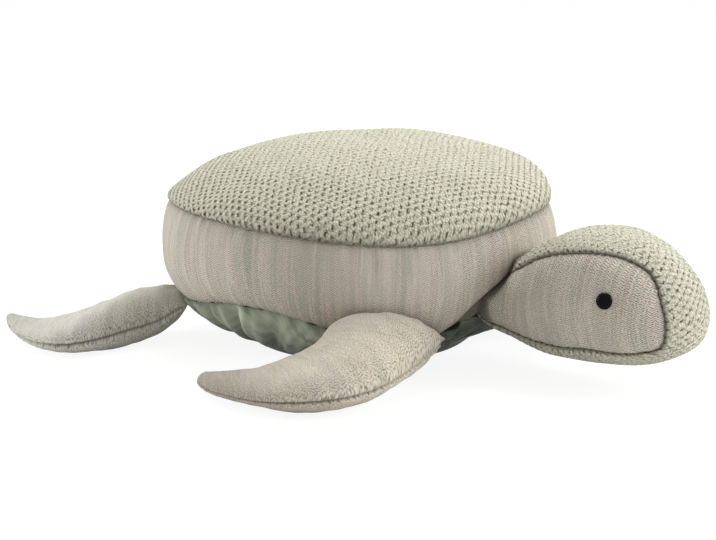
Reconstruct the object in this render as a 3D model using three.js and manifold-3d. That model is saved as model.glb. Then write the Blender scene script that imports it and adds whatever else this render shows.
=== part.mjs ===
// A plush turtle that doubles as a floor cushion: a round stuffed body, a head that nods
// on its neck seam and four flippers that flap on their root seams.
// Millimetres. +X points to the head, +Y to the turtle's left and +Z up.
// The origin is the centre of the flat patch that the body rests on.
import * as THREE from 'three';
import { mergeVertices } from 'three/addons/utils/BufferGeometryUtils.js';
import Module from 'manifold-3d';

const wasm = await Module();
wasm.setup();

// Cloths and clearances
const knitThickness = 6;
const jerseyThickness = 3;
const sateenThickness = 2;
const clearance = 0.3;
const fillingClearance = 0.5;
const weldShare = 0.001;
const overrun = 30;

// Body
const upperSeamRadius = 197;
const upperSeamHeight = 137;
const domeRise = 68;
const bandRadius = 202;
const bandBulgeHeight = 92;
const lowerSeamRadius = 180;
const lowerSeamHeight = 43;
const restRadius = 86;
const seamDepth = 5;
const seamAllowance = 10;
const bodySegments = 40;

// Where a limb meets the body: a stuffed nose turns in a seat of unstuffed cloth
const rootHemThickness = 2.5;
const rootHemHeight = 20;
const rootUnderlap = 11;
const rootHemSpread = THREE.MathUtils.degToRad(25);
const neckHemHeight = 46;
const neckHemSpread = THREE.MathUtils.degToRad(45);
const hingeDrop = 7;
const flatDepth = 0.5;

// Flippers
const frontNoseRadius = 29;
const frontThickness = 58;
const frontTipWidth = 26;
const frontRootAngle = 46;
const frontRootWidth = 88;
const frontReach = 92;
const frontSweep = 168;
const rearNoseRadius = 23;
const rearThickness = 46;
const rearTipWidth = 22;
const rearRootAngle = 143;
const rearRootWidth = 78;
const rearReach = 152;
const rearSweep = 98;

// Outlines of the flippers from root to tip: share of the reach, share of the sweep
const frontLeadingShares = [
  [0.5, -0.06], [0.92, 0.16], [1, 0.4], [0.86, 0.64], [0.56, 0.82], [0.12, 0.96],
];
const frontTrailingShares = [[0.06, 0.36], [-0.01, 0.5], [-0.12, 0.66], [-0.22, 0.82]];
const frontTipShares = [-0.14, 0.99];
const rearLeadingShares = [[0.12, -0.58], [0.3, -0.82], [0.47, -1], [0.68, -0.94], [0.87, -0.58]];
const rearTrailingShares = [[0.24, 0.16], [0.41, 0], [0.58, -0.1], [0.79, -0.08]];
const rearTipShares = [1, -0.14];
// Along a flipper from just past the root: its thickness, and how far it has come down to the floor
const frontThicknessShares = [1, 0.98, 0.86, 0.68, 0.46, 0.3];
const rearThicknessShares = [1, 0.98, 0.86, 0.7, 0.52, 0.4];
const flipperDropShares = [0, 0.5, 0.9, 1, 1, 1];
// The edge seam of a flipper lies below the middle of its thickness
const upperPanelShare = 0.58;

// Head
const neckNoseRadius = 43;
const neckWidth = 130;
const neckHeight = 79;
const headLength = 147;
const headWidth = 128;
const headHeight = 125;
const headFloorGap = 26;
const gussetNeckWidth = 50;
const panelRecess = 1;
// Along the head from the neck hinge to the snout: half width, rise and drop
const headWidthShares = [1.01, 1.01, 1, 0.98, 0.91, 0.74, 0.34];
const headRiseShares = [0.9, 1, 1, 0.95, 0.86, 0.7, 0.38];
const headDropShares = [0.97, 1, 0.99, 0.91, 0.81, 0.67, 0.4];
// The seam round a side panel: share of the head's length, share of its height
const panelShares = [
  [-0.22, 0.42], [-0.2, 0.67], [-0.02, 0.776], [0.18, 0.84], [0.39, 0.856], [0.6, 0.816],
  [0.765, 0.71], [0.86, 0.55], [0.89, 0.376], [0.84, 0.27], [0.755, 0.216], [0.475, 0.184],
  [0.2, 0.15], [-0.01, 0.16], [-0.2, 0.22],
];
const eyeLengthShare = 0.516;
const eyeHeightShare = 0.56;
const eyeRadius = 7.5;
const eyeRise = 3.5;
const eyeShankRadius = 2;
const eyeShankLength = 14;

const hingeHeight = lowerSeamHeight - hingeDrop;
const neckHingeRadius = bandRadius - seamDepth / 2 + rootHemThickness + neckNoseRadius;

// The roots reach in under the bulge of the band
function flipperHingeRadius(limb) {
  return (lowerSeamRadius + bandRadius) / 2 - rootUnderlap + rootHemThickness + limb.noseRadius;
}

function cloth(color, roughness) {
  return new THREE.MeshStandardMaterial({ color, roughness, metalness: 0 });
}

const materials = {
  knit: () => cloth(0xc9ccb4, 0.95),
  jersey: () => cloth(0xc6c0ae, 0.9),
  sateen: () => cloth(0xa9b5a0, 0.55),
  flipper: () => cloth(0xcbc4b0, 0.9),
  fibre: () => cloth(0xf1efe8, 1),
  eye: () => cloth(0x14110f, 0.3),
};

// A closed, merged geometry as a solid, and back again
function toSolid(geometry) {
  const plain = geometry.clone();
  plain.deleteAttribute('normal');
  plain.deleteAttribute('uv');
  const merged = mergeVertices(plain, clearance * weldShare);
  const index = Array.from(merged.index.array);
  const triangles = [];
  for (let i = 0; i < index.length; i += 3) {
    const [a, b, c] = index.slice(i, i + 3);
    if (a !== b && b !== c && c !== a) triangles.push(a, b, c);
  }
  return new wasm.Manifold(new wasm.Mesh({
    numProp: 3,
    vertProperties: new Float32Array(merged.attributes.position.array),
    triVerts: new Uint32Array(triangles),
  }));
}

function toGeometry(solid) {
  const mesh = solid.getMesh();
  const geometry = new THREE.BufferGeometry();
  geometry.setAttribute('position', new THREE.BufferAttribute(mesh.vertProperties, 3));
  geometry.setIndex(new THREE.BufferAttribute(mesh.triVerts, 1));
  geometry.computeVertexNormals();
  return geometry;
}

function lathe(points, segments) {
  const geometry = new THREE.LatheGeometry(points, segments);
  geometry.rotateX(Math.PI / 2);
  return geometry;
}

// The body's outer outline, panel by panel, from the middle of the base to the top of the dome.
// At a seam the cloth turns in by seamDepth.
function roundedCurve(curve, count, tuckStart, tuckEnd) {
  const points = curve.getPoints(count);
  if (tuckStart) points[0].x -= seamDepth;
  if (tuckEnd) points[count].x -= seamDepth;
  return points;
}

function baseCurve() {
  const curve = new THREE.QuadraticBezierCurve(
    new THREE.Vector2(restRadius, 0),
    new THREE.Vector2((restRadius + 2 * lowerSeamRadius) / 3, 0),
    new THREE.Vector2(lowerSeamRadius, lowerSeamHeight),
  );
  return [new THREE.Vector2(0, 0), ...roundedCurve(curve, 5, false, true)];
}

function bandCurve() {
  const curve = new THREE.SplineCurve([
    new THREE.Vector2(lowerSeamRadius, lowerSeamHeight),
    new THREE.Vector2((lowerSeamRadius + 2 * bandRadius) / 3, (lowerSeamHeight + bandBulgeHeight) / 2),
    new THREE.Vector2(bandRadius, bandBulgeHeight),
    new THREE.Vector2(upperSeamRadius, upperSeamHeight),
  ]);
  return roundedCurve(curve, 7, true, true);
}

function domeCurve() {
  const curve = new THREE.EllipseCurve(0, upperSeamHeight, upperSeamRadius, domeRise, 0, Math.PI / 2);
  const points = roundedCurve(curve, 8, true, false);
  points[points.length - 1].x = 0;
  return points;
}

// The same outline moved inwards by the thickness of the cloth
function inwards(points, thickness) {
  return points.map((point, i) => {
    const before = points[Math.max(i - 1, 0)];
    const after = points[Math.min(i + 1, points.length - 1)];
    const along = after.clone().sub(before).normalize();
    const moved = new THREE.Vector2(point.x - along.y * thickness, point.y + along.x * thickness);
    if (point.x === 0) moved.set(0, point.y + Math.sign(along.x) * thickness);
    return moved;
  });
}

// The whole body as one solid, grown so that what lies against it keeps its clearance
function bodyBlock(growth) {
  const points = [...baseCurve().slice(0, -1), ...bandCurve(), ...domeCurve().slice(1)];
  return toSolid(lathe(inwards(points, -growth), bodySegments));
}

// Where the turned-in allowance ends, measured from the axis
const upperLipRadius = upperSeamRadius - seamDepth - knitThickness - seamAllowance;
const lowerLipRadius = lowerSeamRadius - seamDepth - jerseyThickness - seamAllowance;

function lip(outer, height, radius, thickness) {
  return [
    new THREE.Vector2(outer, height),
    new THREE.Vector2(radius, height),
    new THREE.Vector2(radius, height + thickness),
    new THREE.Vector2(outer - Math.abs(thickness), height + thickness),
  ];
}

function shellPanel() {
  const outer = domeCurve();
  const inner = inwards(outer, knitThickness);
  const seat = upperSeamHeight + clearance / 2;
  const edge = lip(upperSeamRadius - seamDepth, seat, upperLipRadius, knitThickness);
  const profile = [...outer.slice(1).reverse(), ...edge, ...inner.slice(2)];
  return lathe(profile.reverse(), bodySegments);
}

function sideBand() {
  const outer = bandCurve();
  const inner = inwards(outer, jerseyThickness);
  const top = upperSeamHeight - clearance / 2;
  const bottom = lowerSeamHeight + clearance / 2;
  const upperEdge = lip(upperSeamRadius - seamDepth, top, upperLipRadius, -jerseyThickness);
  const lowerEdge = lip(lowerSeamRadius - seamDepth, bottom, lowerLipRadius, jerseyThickness);
  const profile = [
    ...outer.slice(1, -1), ...upperEdge, ...inner.slice(2, -2).reverse(), ...lowerEdge.reverse(),
  ];
  profile.push(profile[0].clone());
  return lathe(profile, bodySegments);
}

function basePanel() {
  const outer = baseCurve();
  const inner = inwards(outer, sateenThickness);
  const seat = lowerSeamHeight - clearance / 2;
  const edge = lip(lowerSeamRadius - seamDepth, seat, lowerLipRadius, -sateenThickness);
  const profile = [...outer.slice(0, -1), ...edge, ...inner.slice(0, -2).reverse()];
  return lathe(profile, bodySegments);
}

// The filling follows the insides of the panels and steps in round their seam allowances
function bodyFilling() {
  const base = inwards(baseCurve(), sateenThickness + fillingClearance);
  const band = inwards(bandCurve(), jerseyThickness + fillingClearance);
  const dome = inwards(domeCurve(), knitThickness + fillingClearance);
  const gap = clearance / 2 + fillingClearance;
  const under = lowerLipRadius - fillingClearance;
  const over = upperLipRadius - fillingClearance;
  const profile = [
    ...base.slice(0, -2),
    new THREE.Vector2(under, lowerSeamHeight - gap - sateenThickness),
    new THREE.Vector2(under, lowerSeamHeight + gap + jerseyThickness),
    ...band.slice(2, -2),
    new THREE.Vector2(over, upperSeamHeight - gap - jerseyThickness),
    new THREE.Vector2(over, upperSeamHeight + gap + knitThickness),
    ...dome.slice(2),
  ];
  return lathe(profile, bodySegments);
}

// A smooth line through a few heights, used for thickness and drop along a limb
function smooth(values, share) {
  const points = values.map((value, i) => new THREE.Vector2(i, value));
  const spline = new THREE.SplineCurve(points);
  return spline.getPoint(share).y;
}

// A stuffed limb lies along its hinge axis with its root, and swells and tapers to its tip.
// Rows run from the nose, which is round about the hinge, to the tip; columns run from edge to edge.
// Every size is drawn in by inset, so the cloth's inside and the filling follow the outside.
const noseRows = 5;
const limbRows = 8;
const limbColumns = 8;
const limbFullness = 2.3;
const tipFullness = 4;
const slantLimitShare = 0.5;
const edgeStepShare = 0.01;

// Height of the cross-section at a share w of its half width
function crossSection(w) {
  return Math.max(1 - Math.abs(w) ** limbFullness, 0) ** (1 / limbFullness);
}

// A point of an edge moved along the chord until it lies the inset away from that edge
function drawIn(edge, s, chord, inset) {
  const ahead = edge(Math.min(s + edgeStepShare, 1));
  const run = ahead.sub(edge(Math.max(s - edgeStepShare, 0))).normalize();
  const slant = Math.max(Math.abs(run.cross(chord)), slantLimitShare);
  return edge(s).addScaledVector(chord, inset / slant);
}

function limbPoint(limb, row, column, inset, up) {
  const w = -Math.cos(Math.PI * column / limbColumns);
  const profile = crossSection(w);
  const along = Math.max(row - noseRows, 0) / limbRows;
  const s = Math.sin(Math.PI / 2 * along) * (1 - inset / limb.length);
  const chord = limb.trailing(s).sub(limb.leading(s)).normalize();
  const leading = drawIn(limb.leading, s, chord, inset);
  const trailing = drawIn(limb.trailing, s, chord.negate(), inset);
  const flat = leading.lerp(trailing, (1 + w) / 2);
  const thickness = Math.max((up ? limb.rise(s) : limb.drop(s)) - inset, clearance);
  const nose = Math.min(row / noseRows, 1) * Math.PI / 2;
  const end = Math.sqrt(Math.max(1 - along ** tipFullness, 0));
  flat.x -= (limb.noseRadius - inset) * profile * Math.cos(nose);
  const height = thickness * profile * Math.sin(nose) * end;
  return new THREE.Vector3(flat.x, flat.y, limb.middle(s) + (up ? height : -height));
}

function limbGrid(limb, inset, up, lift) {
  const grid = [];
  for (let row = 0; row <= noseRows + limbRows; row += 1) {
    const line = [];
    for (let column = 0; column <= limbColumns; column += 1) {
      const point = limbPoint(limb, row, column, inset, up);
      point.z += lift;
      line.push(point);
    }
    grid.push(line);
  }
  return grid;
}

// A face of four corners, split along the line from the first to the third
function addQuad(list, flip, a, b, c, d) {
  if (flip) list.push(a, c, b, a, d, c);
  else list.push(a, b, c, a, c, d);
}

// The splits mirror each other about the middle column, so that both cheeks of a limb are alike
function addGrid(list, grid, flip) {
  const columns = grid[0].length - 1;
  for (let row = 0; row + 1 < grid.length; row += 1) {
    for (let column = 0; column < columns; column += 1) {
      const near = [grid[row][column], grid[row + 1][column]];
      const far = [grid[row + 1][column + 1], grid[row][column + 1]];
      if (column < columns / 2) addQuad(list, flip, ...near, ...far);
      else addQuad(list, flip, near[1], ...far, near[0]);
    }
  }
}

function edgeLoop(grid) {
  const last = grid.length - 1;
  return [
    ...grid[0].slice(0, -1),
    ...grid.slice(0, -1).map((line) => line[line.length - 1]),
    ...grid[last].slice(1).reverse(),
    ...grid.slice(1).map((line) => line[0]).reverse(),
  ];
}

function triangleGeometry(list) {
  const geometry = new THREE.BufferGeometry();
  geometry.setFromPoints(list);
  return geometry;
}

function limbSolid(limb, inset) {
  const list = [];
  addGrid(list, limbGrid(limb, inset, true, 0), false);
  addGrid(list, limbGrid(limb, inset, false, 0), true);
  return toSolid(triangleGeometry(list));
}

// One cloth panel of a flipper: outside, inside and the rim that meets the other panel's rim
function limbPanel(limb, up) {
  const lift = up ? clearance / 2 : -clearance / 2;
  const outside = limbGrid(limb, 0, up, lift);
  const inside = limbGrid(limb, jerseyThickness, up, lift);
  const list = [];
  addGrid(list, outside, !up);
  addGrid(list, inside, up);
  const outer = edgeLoop(outside);
  const inner = edgeLoop(inside);
  outer.forEach((point, i) => {
    const next = (i + 1) % outer.length;
    addQuad(list, !up, point, outer[next], inner[next], inner[i]);
  });
  return toSolid(triangleGeometry(list));
}

// A flipper in its own frame: x away from the body, y towards the tail, z up from the hinge axis,
// which runs along y through the origin
function flipperLimb(size) {
  const place = ([x, y]) => new THREE.Vector2(x * size.reach, y * size.sweep);
  const leading = size.leadingShares.map(place);
  const trailing = size.trailingShares.map(place);
  const tip = place(size.tipShares);
  const across = trailing.at(-1).clone().sub(leading.at(-1)).setLength(size.tipWidth / 2);
  const leadingEdge = new THREE.SplineCurve([
    new THREE.Vector2(0, -size.rootWidth / 2), ...leading, tip.clone().sub(across),
  ]);
  const trailingEdge = new THREE.SplineCurve([
    new THREE.Vector2(0, size.rootWidth / 2), ...trailing, tip.clone().add(across),
  ]);
  const part = (share) => along(size.thicknessShares, size.noseRadius, share * size.thickness);
  const drop = part(1 - upperPanelShare);
  const floorLevel = (s) => drop(s) - hingeHeight - flatDepth;
  return {
    length: leadingEdge.getLength(),
    rootWidth: size.rootWidth,
    noseRadius: size.noseRadius,
    leading: (s) => leadingEdge.getPoint(s),
    trailing: (s) => trailingEdge.getPoint(s),
    rise: part(upperPanelShare),
    drop,
    middle: (s) => floorLevel(s) * smooth(flipperDropShares, s),
  };
}

function along(values, start, full) {
  return (s) => smooth([start, ...values.map((share) => share * full)], s);
}

const frontFlipper = flipperLimb({
  reach: frontReach,
  sweep: frontSweep,
  rootWidth: frontRootWidth,
  tipWidth: frontTipWidth,
  noseRadius: frontNoseRadius,
  thickness: frontThickness,
  thicknessShares: frontThicknessShares,
  leadingShares: frontLeadingShares,
  trailingShares: frontTrailingShares,
  tipShares: frontTipShares,
});
const rearFlipper = flipperLimb({
  reach: rearReach,
  sweep: rearSweep,
  rootWidth: rearRootWidth,
  tipWidth: rearTipWidth,
  noseRadius: rearNoseRadius,
  thickness: rearThickness,
  thicknessShares: rearThicknessShares,
  leadingShares: rearLeadingShares,
  trailingShares: rearTrailingShares,
  tipShares: rearTipShares,
});

// The head in the same kind of frame, with the hinge axis across the neck
const headHalfWidth = along(headWidthShares, neckWidth / 2, headWidth / 2);
const head = {
  length: headLength,
  rootWidth: neckWidth,
  noseRadius: neckNoseRadius,
  leading: (s) => new THREE.Vector2(s * headLength, -headHalfWidth(s)),
  trailing: (s) => new THREE.Vector2(s * headLength, headHalfWidth(s)),
  rise: along(headRiseShares, neckNoseRadius, headFloorGap + headHeight - neckHeight),
  drop: along(headDropShares, neckNoseRadius, neckHeight - headFloorGap),
  middle: () => 0,
};

function block(width, depth, height, x, y, z) {
  const geometry = new THREE.BoxGeometry(width, depth, height);
  geometry.translate(x, y, z);
  return toSolid(geometry);
}

// All that lies above the floor, in a frame whose origin stands at a height above it
function aboveFloor(height) {
  const size = 2 * (bandRadius + rearReach + headLength);
  return block(size, size, size, 0, 0, size / 2 - height);
}

// The leaf outline of a side panel, pushed through one side of the head
function panelPrism(shrink, side) {
  const points = panelShares.map(([x, z]) => new THREE.Vector3(
    x * headLength,
    headFloorGap + z * headHeight - neckHeight,
    0,
  ));
  const curve = new THREE.CatmullRomCurve3(points, true);
  const outline = curve.getPoints(30).slice(0, -1);
  const shape = new THREE.Shape(outline.map((point, i) => {
    const next = outline[(i + 1) % outline.length];
    const last = outline[(i + outline.length - 1) % outline.length];
    const run = next.clone().sub(last).normalize();
    return new THREE.Vector2(point.x + run.y * shrink, point.y - run.x * shrink);
  }));
  const depth = headWidth / 2 + overrun;
  const geometry = new THREE.ExtrudeGeometry(shape, { depth, bevelEnabled: false });
  geometry.rotateX(Math.PI / 2);
  const start = gussetNeckWidth / 2 + shrink;
  geometry.translate(0, side < 0 ? -start : start + depth, 0);
  return toSolid(geometry);
}

// The point of the head's side at a share of its length and height, and the way it faces
function sidePoint(lengthShare, heightShare, inset) {
  const z = headFloorGap + heightShare * headHeight - neckHeight;
  const at = (share, height) => {
    const level = height / (head.rise(share) - inset);
    const y = -(headHalfWidth(share) - inset) * crossSection(level);
    return new THREE.Vector3(share * headLength, y, height);
  };
  const step = clearance / headLength;
  const point = at(lengthShare, z);
  const forward = at(lengthShare + step, z).sub(point);
  const upward = at(lengthShare, z + clearance).sub(point);
  return { point, normal: forward.cross(upward).normalize() };
}

function eyeSeat() {
  const { point, normal } = sidePoint(eyeLengthShare, eyeHeightShare, panelRecess);
  const turn = new THREE.Quaternion().setFromUnitVectors(new THREE.Vector3(0, 1, 0), normal);
  return { place: point.addScaledVector(normal, clearance), turn };
}

// A domed button with a shank that passes through the panel
function eyeGeometry() {
  const dome = new THREE.EllipseCurve(0, 0, eyeRadius, eyeRise, 0, Math.PI / 2).getPoints(4);
  dome[dome.length - 1].x = 0;
  const profile = [
    new THREE.Vector2(0, -eyeShankLength),
    new THREE.Vector2(eyeShankRadius, -eyeShankLength),
    new THREE.Vector2(eyeShankRadius, 0),
    ...dome,
  ];
  const geometry = new THREE.LatheGeometry(profile, 16);
  const { place, turn } = eyeSeat();
  geometry.applyQuaternion(turn);
  geometry.translate(place.x, place.y, place.z);
  return geometry;
}

function shankHole() {
  const radius = eyeShankRadius + clearance;
  const depth = eyeShankLength + clearance;
  const geometry = new THREE.CylinderGeometry(radius, radius, 2 * depth, 12);
  const { place, turn } = eyeSeat();
  geometry.applyQuaternion(turn);
  geometry.translate(place.x, place.y, place.z);
  return toSolid(geometry);
}

function headGusset() {
  const skin = limbSolid(head, 0).subtract(limbSolid(head, knitThickness));
  return skin.subtract(panelPrism(0, -1)).subtract(panelPrism(0, 1));
}

function headPanel() {
  const outside = limbSolid(head, panelRecess);
  const inside = limbSolid(head, panelRecess + jerseyThickness);
  return outside.subtract(inside).intersect(panelPrism(clearance, -1)).subtract(shankHole());
}

function headFilling() {
  const core = limbSolid(head, knitThickness + fillingClearance);
  const cheek = limbSolid(head, panelRecess + jerseyThickness + fillingClearance);
  const hole = shankHole();
  return core
    .add(cheek.intersect(panelPrism(fillingClearance, -1)))
    .add(cheek.intersect(panelPrism(fillingClearance, 1)))
    .subtract(hole)
    .subtract(hole.mirror([0, 1, 0]));
}

// How far a cut round the nose is grown so that the corners of the turning nose still clear its facets
function noseRelief(limb) {
  const halfFacet = Math.PI / 4 / noseRows;
  return (limb.noseRadius + clearance) / Math.cos(halfFacet) - limb.noseRadius;
}

// The unstuffed cloth between a limb's nose and the body: a strip whose edge is the hinge line
function rootHem(limb, { angle, radius, height, hemHeight, spread }) {
  const half = hemHeight / 2;
  const reach = limb.noseRadius + overrun;
  const taper = half / Math.tan(spread);
  const strip = new THREE.Shape([
    new THREE.Vector2(0, 0),
    new THREE.Vector2(-taper, half),
    new THREE.Vector2(-reach, half),
    new THREE.Vector2(-reach, -half),
    new THREE.Vector2(-taper, -half),
  ]);
  const geometry = new THREE.ExtrudeGeometry(strip, { depth: limb.rootWidth, bevelEnabled: false });
  geometry.rotateX(Math.PI / 2);
  geometry.translate(0, limb.rootWidth / 2, 0);
  const body = bodyBlock(clearance).rotate([0, 0, -angle]).translate([-radius, 0, -height]);
  return toSolid(geometry).subtract(body).subtract(limbSolid(limb, -noseRelief(limb)));
}

function piece(name, solid, material) {
  const geometry = solid.isBufferGeometry ? solid : toGeometry(solid);
  const mesh = new THREE.Mesh(geometry, material());
  mesh.name = name;
  return mesh;
}

// A group whose origin is a limb's hinge, turned to face away from the body
function hinge(angle, radius, height) {
  const group = new THREE.Group();
  const turn = THREE.MathUtils.degToRad(angle);
  group.rotation.z = turn;
  group.position.set(radius * Math.cos(turn), radius * Math.sin(turn), height);
  return group;
}

function addFlipper(side, name, limb, angle) {
  const radius = flipperHingeRadius(limb);
  const group = hinge(angle, radius, hingeHeight);
  const seat = {
    angle, radius, height: hingeHeight, hemHeight: rootHemHeight, spread: rootHemSpread,
  };
  const lower = limbPanel(limb, false).intersect(aboveFloor(hingeHeight));
  group.add(
    piece(`${name}_upper_panel`, limbPanel(limb, true), materials.flipper),
    piece(`${name}_lower_panel`, lower, materials.flipper),
    piece(`${name}_filling`, limbSolid(limb, jerseyThickness + fillingClearance), materials.fibre),
    piece(`${name}_root_hem`, rootHem(limb, seat), materials.flipper),
  );
  side.add(group);
}

const turtle = new THREE.Group();
turtle.add(
  piece('shell_panel', shellPanel(), materials.knit),
  piece('side_band', sideBand(), materials.jersey),
  piece('base_panel', basePanel(), materials.sateen),
  piece('body_filling', bodyFilling(), materials.fibre),
);

const neck = hinge(0, neckHingeRadius, neckHeight);
const neckSeat = {
  angle: 0,
  radius: neckHingeRadius,
  height: neckHeight,
  hemHeight: neckHemHeight,
  spread: neckHemSpread,
};
neck.add(
  piece('head_gusset', headGusset(), materials.knit),
  piece('head_filling', headFilling(), materials.fibre),
  piece('neck_root_hem', rootHem(head, neckSeat), materials.jersey),
);
turtle.add(neck);

// Both sides are alike, so the right side is the left one mirrored
for (const [name, mirror] of [['left', 1], ['right', -1]]) {
  const side = new THREE.Group();
  side.scale.y = mirror;
  addFlipper(side, `front_${name}_flipper`, frontFlipper, frontRootAngle);
  addFlipper(side, `rear_${name}_flipper`, rearFlipper, rearRootAngle);
  const cheek = hinge(0, neckHingeRadius, neckHeight);
  cheek.scale.y = -1;
  cheek.add(
    piece(`head_${name}_panel`, headPanel(), materials.jersey),
    piece(`${name}_eye`, eyeGeometry(), materials.eye),
  );
  side.add(cheek);
  turtle.add(side);
}

export default turtle;
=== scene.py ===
import math

import bpy
import numpy as np
from mathutils import Matrix, Vector


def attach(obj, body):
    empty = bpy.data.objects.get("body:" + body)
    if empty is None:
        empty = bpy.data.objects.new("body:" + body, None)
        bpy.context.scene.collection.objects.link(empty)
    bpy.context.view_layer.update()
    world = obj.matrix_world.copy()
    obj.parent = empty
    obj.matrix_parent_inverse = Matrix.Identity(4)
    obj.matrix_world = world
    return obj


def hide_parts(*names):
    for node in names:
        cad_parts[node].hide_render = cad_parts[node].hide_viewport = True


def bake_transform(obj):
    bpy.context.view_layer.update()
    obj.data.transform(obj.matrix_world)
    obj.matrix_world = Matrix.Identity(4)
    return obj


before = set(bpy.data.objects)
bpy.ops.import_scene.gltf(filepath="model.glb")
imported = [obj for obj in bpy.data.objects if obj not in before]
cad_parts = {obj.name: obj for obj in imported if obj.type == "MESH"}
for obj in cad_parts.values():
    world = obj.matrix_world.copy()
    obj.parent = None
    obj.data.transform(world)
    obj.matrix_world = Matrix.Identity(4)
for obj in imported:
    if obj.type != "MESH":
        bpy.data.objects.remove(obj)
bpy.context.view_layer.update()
print("stage: frame loaded")

# Everything is in metres. +X points to the head, +Y to the turtle's left and +Z up.
# Every cloth piece is cut as a flat grid, which a shape function then lays over the stuffing.
# Its UV map keeps the flat place of each point in metres, so a pattern follows the cloth.


# Helpers

def smoothTable(x, places, values, period=None):
    # A smooth line through a table, with or without a period
    places = np.asarray(places, float)
    values = np.asarray(values, float)
    if period:
        x = np.mod(np.asarray(x, float) - places[0], period) + places[0]
        places = np.concatenate([places[-2:] - period, places, places[:2] + period])
        values = np.concatenate([values[-2:], values, values[:2]])
    slopes = np.gradient(values, places, axis=0)
    k = np.clip(np.searchsorted(places, x, side="right") - 1, 0, len(places) - 2)
    step = places[k + 1] - places[k]
    t = np.clip((x - places[k]) / step, 0, 1)
    if values.ndim > 1:
        t, step = t[..., None], step[..., None]
    rise = values[k] * (2 * t**3 - 3 * t**2 + 1) + values[k + 1] * (3 * t**2 - 2 * t**3)
    return rise + step * (slopes[k] * (t**3 - 2 * t**2 + t) + slopes[k + 1] * (t**3 - t**2))


waveCount = 14


def ripple(p, q, wave, seed):
    # Soft random waves, each 0.7 to 1.5 times the length given. wave holds their height, their length,
    # their share of change along q, and how far they stray from it, where None lets them run every way.
    height, length, drawn, stray = wave
    random = np.random.default_rng(seed)
    total = 0
    for _ in range(waveCount):
        turn = random.uniform(0, 2 * math.pi) if stray is None else random.uniform(-stray, stray)
        size = length * random.uniform(0.7, 1.5)
        phase = random.uniform(0, 2 * math.pi)
        along = p * math.cos(turn) + q * drawn * math.sin(turn)
        total = total + np.sin(2 * math.pi * along / size + phase)
    return height * (total / math.sqrt(waveCount))


def easeUp(value, start, end):
    # 0 before start, 1 after end, smooth between them
    t = np.clip((value - start) / (end - start), 0, 1)
    return t * t * (3 - 2 * t)


def activate(piece):
    bpy.ops.object.select_all(action="DESELECT")
    piece.select_set(True)
    bpy.context.view_layer.objects.active = piece


def setMode(mode):
    bpy.ops.object.mode_set(mode=mode)


def readAll(items, key, width=1, kind=float):
    # One property of all vertices, faces or corners
    values = np.empty(len(items) * width, kind)
    items.foreach_get(key, values)
    return values.reshape(-1, width) if width > 1 else values


mergeGap = 0.00002
sides = ((1, "left"), (-1, "right"))


def layCloth(name, columns, rows, place, ring=False, outwardFrom=None):
    # A flat grid of cloth. place(u, v) gives its points, their flat places, and how dark the seam
    # thread and painted shade lie on them. A ring's ends are joined.
    bpy.ops.mesh.primitive_grid_add(x_subdivisions=columns, y_subdivisions=rows, size=2)
    piece = bpy.context.object
    piece.name = piece.data.name = name
    mesh = piece.data
    flat = readAll(mesh.vertices, "co", 3)
    points, cloth, seam = place((flat[:, 0] + 1) / 2, (flat[:, 1] + 1) / 2)
    mesh.vertices.foreach_set("co", points.ravel())
    corners = readAll(mesh.loops, "vertex_index", kind=int)
    mesh.uv_layers.active.name = "cloth"
    mesh.uv_layers["cloth"].data.foreach_set("uv", cloth[corners].ravel())
    mesh.attributes.new("seam", "FLOAT", "POINT").data.foreach_set("value", seam)
    if ring:
        setMode("EDIT")
        bpy.ops.mesh.select_all(action="SELECT")
        bpy.ops.mesh.remove_doubles(threshold=mergeGap)
        setMode("OBJECT")
    if outwardFrom is not None:
        faceOut(piece, outwardFrom)
    bpy.ops.object.shade_smooth()
    return piece


def faceOut(piece, middle):
    # Turns all faces round where most of them face the middle
    mesh = piece.data
    away = readAll(mesh.polygons, "center", 3) - np.array(middle)
    if (away * readAll(mesh.polygons, "normal", 3)).sum() < 0:
        mesh.flip_normals()


def closeHoles(piece):
    activate(piece)
    setMode("EDIT")
    bpy.ops.mesh.select_mode(type="EDGE")
    bpy.ops.mesh.select_all(action="DESELECT")
    bpy.ops.mesh.select_non_manifold(extend=False)
    bpy.ops.mesh.fill_holes(sides=0)
    bpy.ops.mesh.select_mode(type="VERT")
    setMode("OBJECT")


def thicken(piece, amount):
    # Gives an open sheet its cloth thickness, inwards
    activate(piece)
    wall = piece.modifiers.new("clothThickness", "SOLIDIFY")
    wall.thickness = amount
    wall.offset = -1
    wall.use_rim = True
    bpy.ops.object.modifier_apply(modifier=wall.name)


def finishPiece(piece, material, nodes):
    piece.data.materials.clear()
    piece.data.materials.append(material)
    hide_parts(*nodes)


# Camera, at the photograph's angle

photo = {"width": 716, "height": 540, "focal": 1950, "originX": 362, "originY": 336}
view = {"heading": 39, "elevation": 12.3, "distance": 2.0, "sensorWidth": 36, "clipStart": 0.05}


def addCamera():
    heading = math.radians(view["heading"])
    elevation = math.radians(view["elevation"])
    right = Vector((math.cos(heading), math.sin(heading), 0))
    toward = Vector((math.sin(heading), -math.cos(heading), 0))
    back = toward * math.cos(elevation) + Vector((0, 0, math.sin(elevation)))
    up = back.cross(right)
    scale = view["distance"] / photo["focal"]
    place = back * view["distance"]
    place -= right * (photo["originX"] - photo["width"] / 2) * scale
    place -= up * (photo["height"] / 2 - photo["originY"]) * scale
    bpy.ops.object.camera_add(location=place)
    camera = bpy.context.object
    turn = Matrix((right, up, back)).transposed().to_4x4()
    camera.matrix_world = Matrix.Translation(place) @ turn
    camera.data.sensor_width = view["sensorWidth"]
    camera.data.lens = photo["focal"] / photo["width"] * camera.data.sensor_width
    camera.data.clip_start = view["clipStart"]
    bpy.context.scene.camera = camera


# Materials. Scales of noise are per metre of cloth.

sheenRoughness = 0.6


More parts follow.
